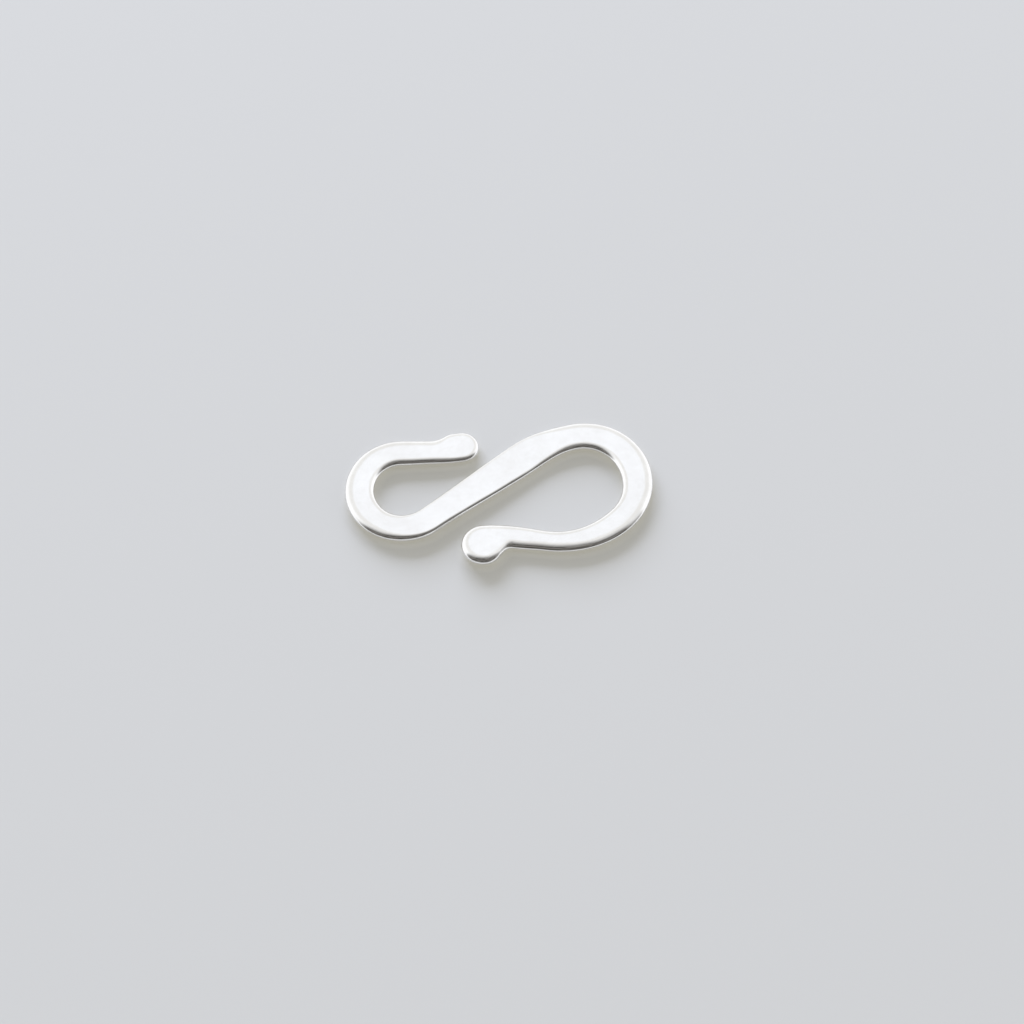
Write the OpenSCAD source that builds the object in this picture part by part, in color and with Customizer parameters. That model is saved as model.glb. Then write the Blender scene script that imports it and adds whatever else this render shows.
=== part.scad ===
// S hook clasp: one length of silver wire, balled at both ends, forged flat and bent into an S
// with a small bow and a large bow. Millimetres. It lies flat, +Z up, long axis along X,
// with the middle of its outline over the origin and its underside at Z = 0.

/* [Bar] */
// Straight length of the bar between the two bows
bar_len = 7.85; // [6:0.05:10]
// Angle between the bar and the long axis of the clasp
bar_tilt = 30.5; // [25:0.5:36]
// Width of the bar where it leaves the small bow
bar_foot_w = 1.95; // [1.4:0.05:2.3]
// Width of the bar where it meets the large bow
bar_head_w = 2.45; // [1.8:0.05:2.9]
// Thickness of the bar where it is widest
bar_head_t = 0.42; // [0.3:0.01:0.8]
// Width of the rounded rims along the bar
bar_rim = 0.25; // [0.15:0.01:0.5]

/* [Small bow] */
// Radius of the bend next to the bar
small_heel_r = 2.75; // [2.4:0.05:3.4]
// Turn of the bend next to the bar, in degrees
small_heel_turn = 82.5; // [75:0.5:90]
// Radius of the middle bend
small_side_r = 3; // [2.6:0.05:3.8]
// Turn of the middle bend, in degrees
small_side_turn = 76; // [68:0.5:83]
// Radius of the bend next to the arm
small_toe_r = 2.65; // [2.2:0.05:3.4]
// Turn of the bend next to the arm, in degrees
small_toe_turn = 58; // [50:0.5:64]
// Width of the strap round the bow
small_bow_w = 1.9; // [1.4:0.05:2.3]
// Straight length of the arm
small_arm_len = 2.1; // [1.2:0.05:3.5]
// Width of the arm at its narrowest
small_arm_w = 1.8; // [1.3:0.05:2.1]
// Radius of the outward flare that ends in the pad
small_flare_r = 13; // [8:0.5:20]
// Turn of the flare, in degrees
small_flare_turn = 8.5; // [6:0.5:12]
// Width of the strap where it runs into the pad
small_neck_w = 1.8; // [1.4:0.05:2.1]
// Diameter of the flattened ball at the end
small_pad_d = 2.25; // [2.1:0.05:2.8]
// Thickness of the flattened ball
small_pad_t = 0.46; // [0.35:0.01:1]
// Width of the rounded rim of the flattened ball
small_pad_rim = 0.35; // [0.2:0.01:0.6]
// Slope of the ball's shoulder against the arm, in degrees
small_pad_flank = 30; // [15:1:50]
// Length by which the ball is drawn out along the arm
small_pad_draw = 0.5; // [0.1:0.05:0.8]

/* [Large bow] */
// Radius of the shoulder that eases out of the bar
large_shoulder_r = 8.2; // [6:0.05:10]
// Turn of the shoulder, in degrees
large_shoulder_turn = 24.5; // [18:0.5:30]
// Radius of the crown, the tightest bend
large_crown_r = 3.3; // [2.8:0.05:4]
// Turn of the crown, in degrees
large_crown_turn = 68; // [61:0.5:75]
// Width of the strap where the shoulder meets the crown
large_crown_w = 2; // [1.4:0.05:2.4]
// Radius of the far side of the bow
large_side_r = 3.9; // [3.4:0.05:4.8]
// Turn of the far side, in degrees
large_side_turn = 77.5; // [70:0.5:84]
// Width of the strap where the crown meets the far side
large_side_w = 2.1; // [1.5:0.05:2.5]
// Radius of the bend next to the arm
large_heel_r = 5.6; // [4.8:0.05:6.4]
// Turn of the bend next to the arm, in degrees
large_heel_turn = 56; // [49:0.5:62]
// Width of the strap where the far side meets the last bend
large_heel_w = 1.85; // [1.4:0.05:2.3]
// Straight length of the arm
large_arm_len = 1.9; // [1.2:0.05:3]
// Width of the arm at its narrowest
large_arm_w = 1.5; // [1.3:0.05:1.9]
// Radius of the outward flare that ends in the pad
large_flare_r = 10.2; // [7:0.1:14]
// Turn of the flare, in degrees
large_flare_turn = 12.5; // [9:0.5:16]
// Width of the strap where it runs into the pad
large_neck_w = 1.65; // [1.3:0.05:1.9]
// Diameter of the flattened ball at the end
large_pad_d = 2.9; // [2.4:0.05:3.4]
// Thickness of the flattened ball
large_pad_t = 0.68; // [0.5:0.01:1.2]
// Width of the rounded rim of the flattened ball
large_pad_rim = 0.55; // [0.25:0.01:0.6]
// Slope of the ball's shoulder against the arm, in degrees
large_pad_flank = 50; // [30:1:65]

/* [Forging] */
// Thickness of the strap round the bows and along the arms
strap_t = 0.55; // [0.4:0.01:1]
// Width of the rounded rim on the outside of the bends
rim_out = 0.6; // [0.25:0.01:0.65]
// Width of the rounded rim on the inside of the bends
rim_in = 0.45; // [0.2:0.01:0.6]
// Size of the fillet in the corner between arm and pad
pad_fillet = 0.3; // [0.1:0.01:0.6]
// Depth by which the underside is dressed flat
dressing = 0.03; // [0.01:0.005:0.06]

/* [Hidden] */

// Fineness: degrees of bend, length of strap and length of flare per section, steps round a rim
// and round a pad.
bend_step = 5;
straight_step = 1;
flare_step = 0.15;
rim_steps = 8;
pad_steps = 20;

// A bend is [length along the strap, turn to the left in degrees].
function arc(r, turn) = [r * abs(turn) * PI / 180, turn];
function straight(length) = [length, 0];

// Bends in order from the small pad to the large pad.
small_bends = [
    arc(small_flare_r, -small_flare_turn),
    straight(small_arm_len),
    arc(small_toe_r, small_toe_turn),
    arc(small_side_r, small_side_turn),
    arc(small_heel_r, small_heel_turn)
];
large_bends = [
    arc(large_shoulder_r, -large_shoulder_turn),
    arc(large_crown_r, -large_crown_turn),
    arc(large_side_r, -large_side_turn),
    arc(large_heel_r, -large_heel_turn),
    straight(large_arm_len),
    arc(large_flare_r, large_flare_turn)
];
bends = concat(small_bends, [straight(bar_len)], large_bends);
bar_place = len(small_bends);
bend_count = len(bends);

// Strap at each end of each bend: [width, thickness, left rim, right rim]. The small bow turns
// left, so its outside is on the right, and the large bow turns right.
function small_strap(width) = [width, strap_t, rim_in, rim_out];
function large_strap(width) = [width, strap_t, rim_out, rim_in];
straps = [
    [small_neck_w, small_pad_t, small_pad_rim, small_pad_rim],
    small_strap(small_arm_w),
    small_strap(small_bow_w),
    small_strap(small_bow_w),
    small_strap(small_bow_w),
    [bar_foot_w, strap_t, bar_rim, bar_rim],
    [bar_head_w, bar_head_t, bar_rim, bar_rim],
    large_strap(large_crown_w),
    large_strap(large_side_w),
    large_strap(large_heel_w),
    large_strap(large_arm_w),
    large_strap(large_neck_w),
    [large_neck_w, large_pad_t, large_pad_rim, large_pad_rim]
];

// Each pad is flush with the inside of its arm and stands out on the outside.
small_pad_r = small_pad_d / 2;
small_pad_out = small_pad_r - small_neck_w / 2;
large_pad_r = large_pad_d / 2;
large_pad_out = large_pad_r - large_neck_w / 2;

// Sum of one column over the first rows of the bend list.
function total(column, rows) = rows <= 0 ? 0 : bends[rows - 1][column] + total(column, rows - 1);
strap_len = total(0, bend_count);

// A pose is [x, y, heading]. It moves along a share of a bend.
function along(pose, bend, share) =
    let (far = pose.z + bend[1] * share, r = bend[0] / bend[1] * 180 / PI)
    bend[1] == 0
        ? [pose.x + bend[0] * share * cos(pose.z), pose.y + bend[0] * share * sin(pose.z), far]
        : [pose.x + r * (sin(far) - sin(pose.z)), pose.y - r * (cos(far) - cos(pose.z)), far];
function bend_start(i) =
    i <= 0 ? [0, 0, bar_tilt - total(1, bar_place)] : along(bend_start(i - 1), bends[i - 1], 1);

// Sections along the strap, each as [bend, share of that bend], closest in the two flares.
function sections_in(i) =
    let (step = i == 0 || i == bend_count - 1 ? flare_step : straight_step)
    ceil(max(abs(bends[i][1]) / bend_step, bends[i][0] / step));
stations = [
    for (i = [0 : bend_count - 1])
        for (k = [0 : sections_in(i) - 1]) [i, k / sections_in(i)],
    [bend_count - 1, 1]
];
last = len(stations) - 1;

// Smooth change from one strap to the next, and a maximum with a rounded corner.
function ease(t) = t * t * (3 - 2 * t);
function strap_at(station) =
    let (i = station[0]) straps[i] + (straps[i + 1] - straps[i]) * ease(station[1]);
function soft_max(a, b, corner) =
    let (share = max(0, min(1, 0.5 + (a - b) / corner / 2)))
    b + (a - b) * share + corner * share * (1 - share);

// Outer edge of a strap that runs into a pad, at a distance from the middle of the pad: round
// the pad first, then straight down its shoulder, then along the strap.
least_fillet = 0.03;
function pad_edge(r, flank, out, away) =
    away < r * sin(flank)
        ? out + sqrt(r * r - away * away)
        : out + r * cos(flank) - (away - r * sin(flank)) * tan(flank);
function joined_edge(edge, r, flank, out, away) =
    let (corner = max(least_fillet, min(pad_fillet, out + r - edge)))
    soft_max(edge, pad_edge(r, flank, out, away), corner);

// Left and right edges of the strap at a section, both measured outwards from its path. The
// small pad stands out to the right, the large pad to the left.
function edges_at(station) =
    let (
        half_w = strap_at(station)[0] / 2,
        from_small = total(0, station[0]) + bends[station[0]][0] * station[1],
        from_draw = max(0, from_small - small_pad_draw),
        from_large = strap_len - from_small
    )
    station[0] < bar_place
        ? [half_w, joined_edge(half_w, small_pad_r, small_pad_flank, small_pad_out, from_draw)]
        : [joined_edge(half_w, large_pad_r, large_pad_flank, large_pad_out, from_large), half_w];

// Half of a section from the middle of its top round the rim to the middle of its underside,
// as [distance from the middle, height].
least_flat = 0.05;
function half_section(half_w, t, rim_w) =
    let (rim = min(rim_w, half_w - least_flat))
    [
        [0, t],
        for (k = [0 : rim_steps])
            let (angle = 90 - 180 * k / rim_steps)
            [half_w - rim + rim * cos(angle), (t + dressing) / 2 * (1 + sin(angle)) - dressing],
        [0, -dressing]
    ];
half_points = rim_steps + 3;
ring_points = 2 * half_points - 2;

// Everything a section needs: [middle of the strap, heading, left half, right half].
function section_at(station) =
    let (
        pose = along(bend_start(station[0]), bends[station[0]], station[1]),
        strap = strap_at(station),
        edges = edges_at(station),
        shift = (edges[0] - edges[1]) / 2,
        half_w = (edges[0] + edges[1]) / 2
    )
    [
        [pose.x - shift * sin(pose.z), pose.y + shift * cos(pose.z)],
        pose.z,
        half_section(half_w, strap[1], strap[2]),
        half_section(half_w, strap[1], strap[3])
    ];
sections = [for (station = stations) section_at(station)];

// A point of a half section, set out from the middle of the strap in a given direction.
function placed(middle, direction, point) =
    [middle.x + point.x * cos(direction), middle.y + point.x * sin(direction), point.y];
function ring(section) = [
    for (k = [0 : half_points - 1]) placed(section[0], section[1] + 90, section[2][k]),
    for (k = [half_points - 2 : -1 : 1]) placed(section[0], section[1] - 90, section[3][k])
];

// The rounded end of a pad: its half section turned from the left side to the right.
function pad_end(section, sweep) = [
    for (q = [1 : pad_steps - 1])
        for (k = [1 : half_points - 2])
            placed(section[0], section[1] + 90 + sweep * q / pad_steps, section[2][k])
];
raw_points = concat(
    [for (section = sections) each ring(section)],
    pad_end(sections[0], 180),
    pad_end(sections[last], -180)
);

// Faces along the strap, and round each end from column to column.
small_end_first = len(stations) * ring_points;
large_end_first = small_end_first + (pad_steps - 1) * (half_points - 2);
function end_point(ring_first, end_first, q, k) =
    k == 0 || k == half_points - 1 || q == 0 ? ring_first + k
    : q == pad_steps ? ring_first + ring_points - k
    : end_first + (q - 1) * (half_points - 2) + k - 1;
function end_face(ring_first, end_first, q, k) =
    let (
        near_top = end_point(ring_first, end_first, q, k),
        near_low = end_point(ring_first, end_first, q, k + 1),
        far_low = end_point(ring_first, end_first, q + 1, k + 1),
        far_top = end_point(ring_first, end_first, q + 1, k)
    )
    k == 0 ? [near_top, near_low, far_low]
    : k == half_points - 2 ? [near_top, near_low, far_top]
    : [near_top, near_low, far_low, far_top];
function flipped(face) = [for (k = [len(face) - 1 : -1 : 0]) face[k]];
strap_faces = [
    for (i = [0 : last - 1])
        for (k = [0 : ring_points - 1])
            let (
                near = i * ring_points,
                far = near + ring_points,
                next = (k + 1) % ring_points
            )
            [near + k, near + next, far + next, far + k]
];
end_faces = [
    for (q = [0 : pad_steps - 1])
        for (k = [0 : half_points - 2])
            each [
                flipped(end_face(0, small_end_first, q, k)),
                end_face(last * ring_points, large_end_first, q, k)
            ]
];

// Box round the outline, used to centre the clasp and to cut its underside flat.
low = [min([for (p = raw_points) p.x]), min([for (p = raw_points) p.y])];
high = [max([for (p = raw_points) p.x]), max([for (p = raw_points) p.y])];
anvil_edge = 1;

module forged_strap() {
    polyhedron(raw_points, concat(strap_faces, end_faces), convexity = 8);
}

module anvil() {
    span = high - low + 2 * [anvil_edge, anvil_edge];
    translate([low.x - anvil_edge, low.y - anvil_edge, -anvil_edge])
        cube([span.x, span.y, anvil_edge]);
}

module s_hook() {
    color([0.93, 0.93, 0.92])
        translate([-(low.x + high.x) / 2, -(low.y + high.y) / 2, 0])
            difference() {
                forged_strap();
                anvil();
            }
}

s_hook();
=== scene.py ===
import math

import bpy
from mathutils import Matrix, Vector


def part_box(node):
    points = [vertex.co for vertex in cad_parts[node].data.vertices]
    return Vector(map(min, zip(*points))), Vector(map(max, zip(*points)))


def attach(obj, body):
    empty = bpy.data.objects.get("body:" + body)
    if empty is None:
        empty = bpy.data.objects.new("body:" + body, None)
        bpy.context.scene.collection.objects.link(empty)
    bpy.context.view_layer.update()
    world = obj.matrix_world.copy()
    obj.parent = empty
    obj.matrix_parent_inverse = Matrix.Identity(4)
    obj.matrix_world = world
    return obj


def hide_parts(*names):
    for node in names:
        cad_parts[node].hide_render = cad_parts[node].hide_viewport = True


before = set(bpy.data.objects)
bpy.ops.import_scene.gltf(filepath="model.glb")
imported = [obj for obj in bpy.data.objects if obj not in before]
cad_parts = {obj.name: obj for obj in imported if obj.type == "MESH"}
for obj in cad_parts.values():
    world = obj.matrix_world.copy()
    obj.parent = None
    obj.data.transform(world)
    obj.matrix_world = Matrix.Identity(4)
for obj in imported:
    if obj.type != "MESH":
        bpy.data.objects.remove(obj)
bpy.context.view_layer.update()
bpy.ops.object.select_all(action="DESELECT")

# Wire blank
# The clasp starts as a straight length of round silver wire. It is an open tube along X that
# runs from the middle of the small ball at one end to the middle of the large ball at the other.
mm = 0.001


def straight(length):
    return length, 0.0


def arc(radius, degrees):
    return radius * math.radians(abs(degrees)), math.radians(degrees)


# Each bend is its length along the wire and its turn to the left.
bends = {
    "small_flare": arc(13 * mm, -8.5),
    "small_arm": straight(2.1 * mm),
    "small_toe": arc(2.65 * mm, 58),
    "small_side": arc(3.0 * mm, 76),
    "small_heel": arc(2.75 * mm, 82.5),
    "bar": straight(7.85 * mm),
    "large_shoulder": arc(8.2 * mm, -24.5),
    "large_crown": arc(3.3 * mm, -68),
    "large_side": arc(3.9 * mm, -77.5),
    "large_heel": arc(5.6 * mm, -56),
    "large_arm": straight(1.9 * mm),
    "large_flare": arc(10.2 * mm, 12.5),
}
wire_length = sum(length for length, turn in bends.values())
wire_radius = 0.5 * mm
wire_sides = 72
# The wire is cut into rings in rounds, because one round makes only so many cuts.
cutting_rounds = 2
cuts_in_a_round = 23
least_run = 0.01 * mm


def select_edges(piece, rule):
    """Selects the edges of a piece whose two ends satisfy a rule, and opens it for editing."""
    bpy.context.tool_settings.mesh_select_mode = (False, True, False)
    points = piece.data.vertices
    for face in piece.data.polygons:
        face.select = False
    for point in points:
        point.select = False
    for edge in piece.data.edges:
        edge.select = rule(points[edge.vertices[0]].co, points[edge.vertices[1]].co)
    bpy.ops.object.mode_set(mode="EDIT")


bpy.ops.mesh.primitive_cylinder_add(
    vertices=wire_sides,
    radius=wire_radius,
    depth=wire_length,
    end_fill_type="NOTHING",
    location=(wire_length / 2, 0, 0),
    rotation=(0, math.pi / 2, 0),
)
hook = bpy.context.object
hook.name = "silver_hook"
hook.data.name = "silver_hook"
bpy.ops.object.transform_apply(location=True, rotation=True, scale=True)
for cutting in range(cutting_rounds):
    select_edges(hook, lambda a, b: abs(a.x - b.x) > least_run)
    bpy.ops.mesh.subdivide(number_cuts=cuts_in_a_round)
    bpy.ops.object.mode_set(mode="OBJECT")

# Forging
# The wire is forged flat on an anvil: each section becomes a strap with a flat top and underside
# and full round rims, broader on the outside of a bend. The bar is hit hardest, so it is thin.
strap_thickness = 0.55 * mm
outer_rim = 0.6 * mm
inner_rim = 0.45 * mm
small_arm_width = 1.8 * mm
small_bow_width = 1.9 * mm
bar_foot_width = 1.95 * mm
bar_head_width = 2.45 * mm
bar_head_thickness = 0.42 * mm
bar_rim = 0.25 * mm
large_crown_width = 2.0 * mm
large_side_width = 2.1 * mm
large_heel_width = 1.85 * mm
large_arm_width = 1.5 * mm
small_neck_width = 1.8 * mm
small_pad_radius = 1.125 * mm
small_pad_thickness = 0.46 * mm
small_pad_rim = 0.35 * mm
small_pad_flank = math.radians(30)
small_pad_draw = 0.5 * mm
large_neck_width = 1.65 * mm
large_pad_radius = 1.45 * mm
large_pad_thickness = 0.68 * mm
large_pad_rim = 0.55 * mm
large_pad_flank = math.radians(50)
pad_fillet = 0.3 * mm
least_fillet = 0.03 * mm
# Share of the points in a half section that lie on each of its two flats.
flat_share = 0.16
# How much closer the rings stand at the ends of the wire, where the pads need them.
end_crowding = 0.6


def small_strap(width):
    return Vector((width, strap_thickness, inner_rim, outer_rim))


def large_strap(width):
    return Vector((width, strap_thickness, outer_rim, inner_rim))


# Width, thickness, left rim and right rim at each end of each bend. The small bow turns left, so
# its outside is on the right, and the large bow turns right.
straps = [
    Vector((small_neck_width, small_pad_thickness, small_pad_rim, small_pad_rim)),
    small_strap(small_arm_width),
    small_strap(small_bow_width),
    small_strap(small_bow_width),
    small_strap(small_bow_width),
    Vector((bar_foot_width, strap_thickness, bar_rim, bar_rim)),
    Vector((bar_head_width, bar_head_thickness, bar_rim, bar_rim)),
    large_strap(large_crown_width),
    large_strap(large_side_width),
    large_strap(large_heel_width),
    large_strap(large_arm_width),
    large_strap(large_neck_width),
    Vector((large_neck_width, large_pad_thickness, large_pad_rim, large_pad_rim)),
]
bend_starts = [0.0]
for length, turn in bends.values():
    bend_starts.append(bend_starts[-1] + length)


def ease(share):
    return share * share * (3 - 2 * share)


def strap_at(x):
    """Width, thickness, left rim and right rim of the strap at a distance along the wire."""
    for k, (start, end) in enumerate(zip(bend_starts, bend_starts[1:])):
        if x <= end:
            break
    share = min(1.0, max(0.0, (x - start) / (end - start)))
    return straps[k].lerp(straps[k + 1], ease(share))


def joined_edge(edge, radius, flank, out, away):
    """Outer edge of a strap that runs into a pad: round the pad, down its shoulder, along the strap."""
    shoulder = radius * math.sin(flank)
    if away < shoulder:
        pad_edge = out + math.sqrt(radius**2 - away**2)
    else:
        pad_edge = out + radius * math.cos(flank) - math.tan(flank) * (away - shoulder)
    fillet = max(least_fillet, min(pad_fillet, out + radius - edge))
    share = min(1.0, max(0.0, 0.5 + (edge - pad_edge) / fillet / 2))
    return pad_edge + (edge - pad_edge) * share + fillet * share * (1 - share)


# How far the middle of each pad lies from the wire's own line.
small_pad_out = small_pad_radius - small_neck_width / 2
large_pad_out = large_pad_radius - large_neck_width / 2


def edges_at(x, half_width):
    """Left and right edges of the strap, measured outwards from the wire's own line."""
    if x < wire_length / 2:
        away = max(0.0, x - small_pad_draw)
        return half_width, joined_edge(half_width, small_pad_radius, small_pad_flank, small_pad_out, away)
    away = wire_length - x
    return joined_edge(half_width, large_pad_radius, large_pad_flank, large_pad_out, away), half_width


def forged(share, half_width, thickness, rim):
    """Place of a point in a half section: share runs from 0 at the top round to 1 underneath."""
    if share < flat_share:
        return (half_width - rim) * share / flat_share, thickness
    if share > 1 - flat_share:
        return (half_width - rim) * (1 - share) / flat_share, 0.0
    angle = math.pi * (share - flat_share) / (1 - 2 * flat_share)
    return half_width - rim + rim * math.sin(angle), thickness / 2 * (1 + math.cos(angle))


for point in hook.data.vertices:
    x, y, z = point.co
    share = x / wire_length
    x = wire_length * (share - end_crowding * math.sin(2 * math.pi * share) / (2 * math.pi))
    width, thickness, left_rim, right_rim = strap_at(x)
    left, right = edges_at(x, width / 2)
    side = 1 if y > 0 else -1
    rim = left_rim if y > 0 else right_rim
    around = math.atan2(abs(y), z) / math.pi
    out, height = forged(around, (left + right) / 2, thickness, rim)
    point.co = (x, (left - right) / 2 + side * out, height)

# Flattened balls
# The balls melted on the ends of the wire spread under the hammer into round pads, so the left
# half of each end section is spun round the middle of the pad to its right half.
spin_steps = 36
merge_distance = 0.0005 * mm
for end_x, middle_y, sense in ((0.0, -small_pad_out, -1), (wire_length, large_pad_out, 1)):
    select_edges(
        hook,
        lambda a, b: all(
            abs(p.x - end_x) < merge_distance and p.y > middle_y - merge_distance for p in (a, b)
        ),
    )
    bpy.ops.mesh.spin(
        steps=spin_steps,
        angle=sense * math.pi,
        center=(end_x, middle_y, 0),
        axis=(0, 0, 1),
    )
    bpy.ops.object.mode_set(mode="OBJECT")
bpy.ops.object.mode_set(mode="EDIT")
bpy.ops.mesh.select_all(action="SELECT")
bpy.ops.mesh.remove_doubles(threshold=merge_distance)
bpy.ops.mesh.normals_make_consistent(inside=False)
bpy.ops.object.mode_set(mode="OBJECT")

# Bending
# The forged strap is bent round pegs into an S. The bends are arcs of one path, the strap is laid
# along it, and the finished clasp is set on the frame's own solid.
bar_tilt = math.radians(30.5)
most_turn = math.radians(45)
path_resolution = 48
bend_names = list(bends)
turn_before_bar = sum(bends[name][1] for name in bend_names[: bend_names.index("bar")])
heading = bar_tilt - turn_before_bar
place = Vector((0, 0, 0))
knots = [(place.copy(), heading, 0.0)]
for length, turn in bends.values():
    pieces = max(1, math.ceil(abs(turn) / most_turn))
    for k in range(pieces):
        if turn:
            radius = length / turn
            far = heading + turn / pieces
            place.x += radius * (math.sin(far) - math.sin(heading))
            place.y -= radius * (math.cos(far) - math.cos(heading))
            heading = far
            # With handles of this length, a Bezier curve follows an arc.
            handle = 4 / 3 * math.tan(turn / pieces / 4) * radius
        else:
            place += length * Vector((math.cos(heading), math.sin(heading), 0))
            handle = length / 3
        knots.append((place.copy(), heading, handle))

bpy.ops.curve.primitive_bezier_curve_add()
path = bpy.context.object
path.data.dimensions = "3D"
path.data.twist_mode = "Z_UP"
path.data.resolution_u = path_resolution
path.data.splines[0].resolution_u = path_resolution
path_points = path.data.splines[0].bezier_points
path_points.add(len(knots) - len(path_points))
for k, (knot, heading, handle) in enumerate(knots):
    ahead = Vector((math.cos(heading), math.sin(heading), 0))
    next_handle = knots[min(k + 1, len(knots) - 1)][2]
    path_points[k].handle_left_type = "FREE"
    path_points[k].handle_right_type = "FREE"
    path_points[k].co = knot
    path_points[k].handle_left = knot - ahead * handle
    path_points[k].handle_right = knot + ahead * next_handle

bpy.ops.object.select_all(action="DESELECT")
hook.select_set(True)
bpy.context.view_layer.objects.active = hook
bend = hook.modifiers.new("bend", "CURVE")
bend.object = path
bend.deform_axis = "POS_X"
bpy.ops.object.modifier_apply(modifier="bend")
bpy.data.objects.remove(path)

bent = [point.co.copy() for point in hook.data.vertices]
low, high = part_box("s_hook")
bent_middle = Vector([(max(p[k] for p in bent) + min(p[k] for p in bent)) / 2 for k in range(3)])
frame_middle = (low + high) / 2
move = frame_middle - bent_middle
bpy.ops.object.mode_set(mode="EDIT")
bpy.ops.mesh.select_all(action="SELECT")
bpy.ops.transform.translate(value=(move.x, move.y, 0))
bpy.ops.object.mode_set(mode="OBJECT")
bpy.ops.object.shade_smooth()

# Silver finish
# Sterling silver, forged, then polished along the bar: nearly white and faintly mottled, a little
# wavy from the hammer, with fine polishing marks and a slightly uneven gloss.
bright_silver = (0.985, 0.983, 0.98, 1)
dull_silver = (0.91, 0.9, 0.89, 1)
mottle_size = 3 * mm
mottle_detail = 6
mottle_coarseness = 0.8
mottle_ends = (0.35, 0.65)
gloss_size = 0.5 * mm
gloss_detail = 3
gloss_ends = (0.3, 0.7)
gloss_roughness = (0.09, 0.17)
hammer_mark_size = 1.6 * mm
hammer_mark_detail = 0
hammer_mark_depth = 0.07 * mm
scratch_width = 0.07 * mm
scratch_detail = 2
scratch_stretch = 16
scratch_depth = 0.002 * mm
usual_coarseness = 0.5

silver = bpy.data.materials.new("polished_silver")
silver.use_nodes = True
silver_nodes = silver.node_tree.nodes
silver_links = silver.node_tree.links
silver_shader = silver_nodes["Principled BSDF"]
silver_shader.inputs["Metallic"].default_value = 1.0
place_on_hook = silver_nodes.new("ShaderNodeTexCoord").outputs["Object"]


def grain(size, detail, coarseness, coordinates):
    """Noise whose largest patches are about a given size across, with finer ones on them."""
    noise = silver_nodes.new("ShaderNodeTexNoise")
    noise.inputs["Scale"].default_value = 1 / size
    noise.inputs["Detail"].default_value = detail
    noise.inputs["Roughness"].default_value = coarseness
    silver_links.new(coordinates, noise.inputs["Vector"])
    return noise.outputs["Fac"]


tone = silver_nodes.new("ShaderNodeMix")
tone.data_type = "RGBA"
tone.inputs["A"].default_value = bright_silver
tone.inputs["B"].default_value = dull_silver
mottle_grain = grain(mottle_size, mottle_detail, mottle_coarseness, place_on_hook)
mottle = silver_nodes.new("ShaderNodeMapRange")
mottle.inputs["From Min"].default_value = mottle_ends[0]
mottle.inputs["From Max"].default_value = mottle_ends[1]
silver_links.new(mottle_grain, mottle.inputs["Value"])
silver_links.new(mottle.outputs["Result"], tone.inputs["Factor"])
silver_links.new(tone.outputs["Result"], silver_shader.inputs["Base Color"])

gloss_grain = grain(gloss_size, gloss_detail, usual_coarseness, place_on_hook)
gloss = silver_nodes.new("ShaderNodeMapRange")
gloss.inputs["From Min"].default_value = gloss_ends[0]
gloss.inputs["From Max"].default_value = gloss_ends[1]
gloss.inputs["To Min"].default_value = gloss_roughness[0]
gloss.inputs["To Max"].default_value = gloss_roughness[1]
silver_links.new(gloss_grain, gloss.inputs["Value"])
silver_links.new(gloss.outputs["Result"], silver_shader.inputs["Roughness"])

hammer_grain = grain(hammer_mark_size, hammer_mark_detail, usual_coarseness, place_on_hook)
hammered = silver_nodes.new("ShaderNodeBump")
hammered.inputs["Distance"].default_value = hammer_mark_depth
silver_links.new(hammer_grain, hammered.inputs["Height"])

drawn = silver_nodes.new("ShaderNodeMapping")
drawn.vector_type = "TEXTURE"
drawn.inputs["Rotation"].default_value = (0, 0, bar_tilt)
drawn.inputs["Scale"].default_value = (scratch_stretch, 1, 1)
scratch_grain = grain(scratch_width, scratch_detail, usual_coarseness, drawn.outputs["Vector"])
scratched = silver_nodes.new("ShaderNodeBump")
scratched.inputs["Distance"].default_value = scratch_depth
silver_links.new(place_on_hook, drawn.inputs["Vector"])
silver_links.new(scratch_grain, scratched.inputs["Height"])
silver_links.new(hammered.outputs["Normal"], scratched.inputs["Normal"])
silver_links.new(scratched.outputs["Normal"], silver_shader.inputs["Normal"])
hook.data.materials.clear()
hook.data.materials.append(silver)
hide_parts("s_hook")
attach(hook, "root")

# Floor
# A plain pale slab of stone, just under the clasp. It glows a little warm as painted light, and glows
# most in the shadow close to the rims, a painted fill that keeps the shadows on it pale.
floor_size = 4.0
floor_gap = 0.004 * mm
slab_color = (0.41, 0.42, 0.445, 1)
slab_roughness = 0.8
slab_shine = 0.1
# Painted light: the slab's warm glow everywhere, and the brighter glow painted into the shadow by the
# rims.
painted_open_glow = (0.18, 0.17, 0.13, 1)
painted_shadow_glow = (0.33, 0.316, 0.26, 1)
glow_reach = 0.55 * mm
glow_samples = 8
# Upwards and to the back, where the window is.
glow_facing = (0, 0.8, 0.6)

bpy.ops.mesh.primitive_plane_add(size=floor_size, location=(0, 0, -floor_gap))
floor = bpy.context.object
floor.name = "floor"
pale = bpy.data.materials.new("pale_slab")
pale.use_nodes = True
pale_nodes = pale.node_tree.nodes
pale_links = pale.node_tree.links
pale_shader = pale_nodes["Principled BSDF"]
pale_shader.inputs["Base Color"].default_value = slab_color
pale_shader.inputs["Roughness"].default_value = slab_roughness
pale_shader.inputs["Specular IOR Level"].default_value = slab_shine
# The slab emits light though it is no lamp: a painted glow.
pale_shader.inputs["Emission Strength"].default_value = 1.0
openness = pale_nodes.new("ShaderNodeAmbientOcclusion")
openness.samples = glow_samples
openness.inputs["Distance"].default_value = glow_reach
facing = pale_nodes.new("ShaderNodeCombineXYZ")
for axis, part in zip("XYZ", glow_facing):
    facing.inputs[axis].default_value = part
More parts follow.
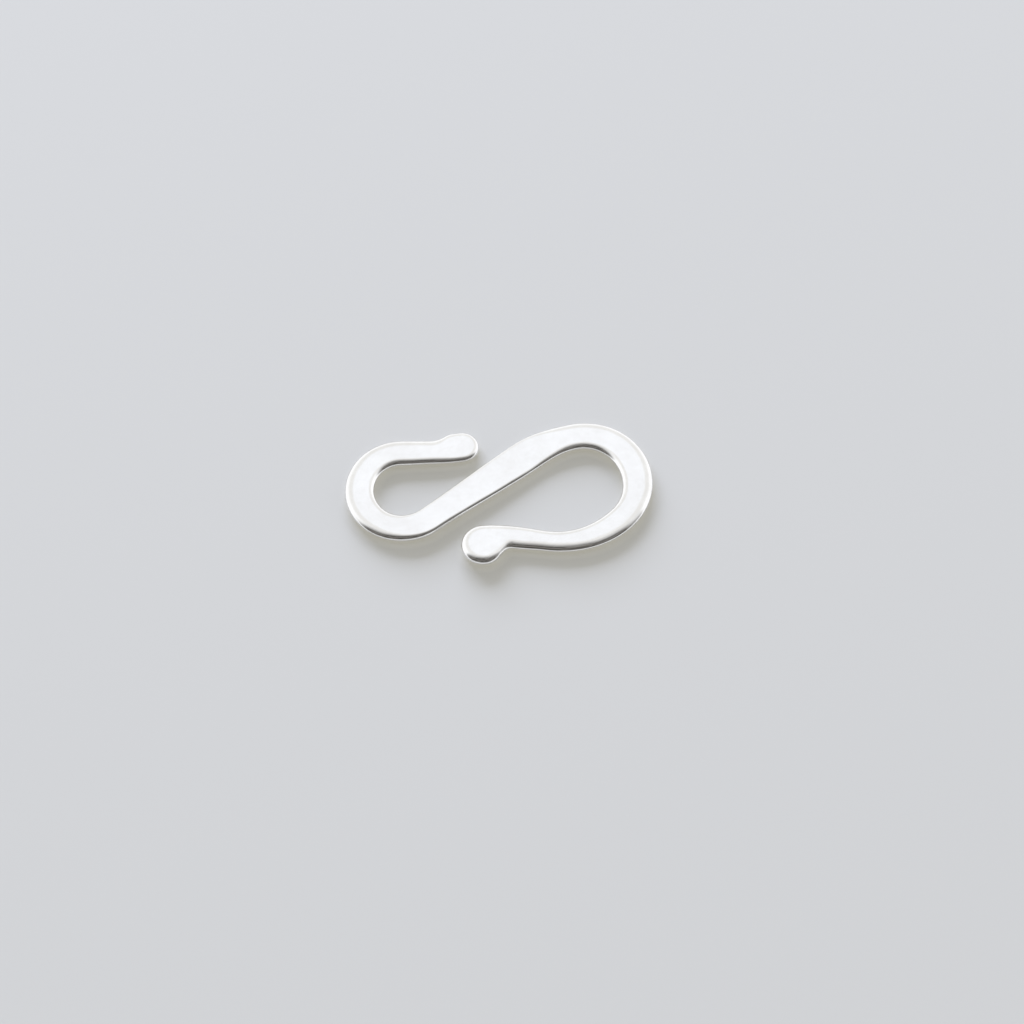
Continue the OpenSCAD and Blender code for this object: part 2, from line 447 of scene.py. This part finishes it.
# Painted shadow fill: where ambient occlusion finds the clasp close, the glow turns to the brighter
# shadow colour.
painted_glow = pale_nodes.new("ShaderNodeMix")
painted_glow.data_type = "RGBA"
painted_glow.inputs["A"].default_value = painted_shadow_glow
painted_glow.inputs["B"].default_value = painted_open_glow
pale_links.new(facing.outputs["Vector"], openness.inputs["Normal"])
pale_links.new(openness.outputs["AO"], painted_glow.inputs["Factor"])
pale_links.new(painted_glow.outputs["Result"], pale_shader.inputs["Emission Color"])
floor.data.materials.append(pale)

# Light
# A white tent with a broad soft box over the back, where the flat top mirrors it to the camera.
# Its front stands open to a warm, dark room, and a window low at the back casts the shadows.
view_azimuth = math.radians(-8)
view_elevation = math.radians(58)
tent_color = (1.09, 1.1, 1.11, 1)
box_color = (0.995, 1.015, 1.05, 1)
box_border_color = (0.88, 0.88, 0.87, 1)
box_reach_angle = math.radians(50)
# Where the tent ends, the border of the soft box lies and the box begins, on the way to its middle.
tent_end = 0.25
box_border_edges = (0.78, 0.92)
box_start = 0.99
room_azimuth = math.radians(-10)
room_elevation = math.radians(52)
room_full_angle = math.radians(21)
room_end_angle = math.radians(56)
room_squeeze = (0.35, 1, 1)
room_dark_color = (0.045, 0.042, 0.038, 1)
room_light_color = (0.25, 0.24, 0.225, 1)
room_ends = (0.35, 0.68)
furniture_scale = 7.0
furniture_detail = 1.0
window_place = Vector((-0.12, 1.0, 0.25))
window_width = 0.9
window_height = 0.3
window_power = 31.0
window_color = (0.93, 0.97, 1.1)


def towards(azimuth, elevation):
    """Direction from the clasp: azimuth 0 is to the front, elevation is up from the slab."""
    flat = math.cos(elevation)
    return Vector((math.sin(azimuth) * flat, -math.cos(azimuth) * flat, math.sin(elevation)))


world = bpy.data.worlds.new("tent")
scene = bpy.context.scene
scene.world = world
world.use_nodes = True
tent_nodes = world.node_tree.nodes
tent_links = world.node_tree.links
direction = tent_nodes.new("ShaderNodeTexCoord").outputs["Generated"]

box_side = tent_nodes.new("ShaderNodeVectorMath")
box_side.operation = "DOT_PRODUCT"
box_side.inputs[1].default_value = towards(view_azimuth + math.pi, view_elevation)
box_reach = tent_nodes.new("ShaderNodeMapRange")
box_reach.inputs["From Min"].default_value = math.cos(box_reach_angle)
box_reach.inputs["From Max"].default_value = 1.0
wall = tent_nodes.new("ShaderNodeValToRGB")
wall.color_ramp.interpolation = "EASE"
wall.color_ramp.elements[0].position = tent_end
wall.color_ramp.elements[0].color = tent_color
wall.color_ramp.elements[1].position = box_start
wall.color_ramp.elements[1].color = box_color
for border_edge in box_border_edges:
    border = wall.color_ramp.elements.new(border_edge)
    border.color = box_border_color
tent_links.new(direction, box_side.inputs[0])
tent_links.new(box_side.outputs["Value"], box_reach.inputs["Value"])
tent_links.new(box_reach.outputs["Result"], wall.inputs["Fac"])

narrowed = tent_nodes.new("ShaderNodeVectorMath")
narrowed.operation = "MULTIPLY"
narrowed.inputs[1].default_value = room_squeeze
levelled = tent_nodes.new("ShaderNodeVectorMath")
levelled.operation = "NORMALIZE"
front_side = tent_nodes.new("ShaderNodeVectorMath")
front_side.operation = "DOT_PRODUCT"
front_side.inputs[1].default_value = towards(room_azimuth, room_elevation)
opening = tent_nodes.new("ShaderNodeMapRange")
opening.interpolation_type = "SMOOTHSTEP"
opening.inputs["From Min"].default_value = math.cos(room_end_angle)
opening.inputs["From Max"].default_value = math.cos(room_full_angle)
tent_links.new(direction, narrowed.inputs[0])
tent_links.new(narrowed.outputs["Vector"], levelled.inputs[0])
tent_links.new(levelled.outputs["Vector"], front_side.inputs[0])
tent_links.new(front_side.outputs["Value"], opening.inputs["Value"])

furniture = tent_nodes.new("ShaderNodeTexNoise")
furniture.inputs["Scale"].default_value = furniture_scale
furniture.inputs["Detail"].default_value = furniture_detail
room = tent_nodes.new("ShaderNodeValToRGB")
room.color_ramp.interpolation = "EASE"
room.color_ramp.elements[0].position = room_ends[0]
room.color_ramp.elements[0].color = room_dark_color
room.color_ramp.elements[1].position = room_ends[1]
room.color_ramp.elements[1].color = room_light_color
tent_links.new(direction, furniture.inputs["Vector"])
tent_links.new(furniture.outputs["Fac"], room.inputs["Fac"])

shade = tent_nodes.new("ShaderNodeMix")
shade.data_type = "RGBA"
tent_links.new(opening.outputs["Result"], shade.inputs["Factor"])
tent_links.new(wall.outputs["Color"], shade.inputs["A"])
tent_links.new(room.outputs["Color"], shade.inputs["B"])
tent_links.new(shade.outputs["Result"], tent_nodes["Background"].inputs["Color"])

bpy.ops.object.light_add(type="AREA", location=window_place)
window = bpy.context.object
window.name = "window"
window.data.shape = "RECTANGLE"
window.data.size = window_width
window.data.size_y = window_height
window.data.energy = window_power
window.data.color = window_color
window.rotation_euler = (-window_place).to_track_quat("-Z", "Y").to_euler()
window.visible_glossy = False

# Camera
# It looks down on the clasp at the photograph's angle, through a long lens, with the clasp small
# in the frame.
lens = 85
film_width = 36
nearest_seen = 1 * mm
view_distance = 156 * mm
aim = Vector((0.566 * mm, -1.256 * mm, 0))
bpy.ops.object.camera_add()
camera = bpy.context.object
camera.data.lens = lens
camera.data.sensor_width = film_width
camera.data.clip_start = nearest_seen
back = towards(view_azimuth, view_elevation)
camera.location = aim + view_distance * back
camera.rotation_euler = (-back).to_track_quat("-Z", "Y").to_euler()
scene.camera = camera
scene.view_settings.view_transform = "Standard"
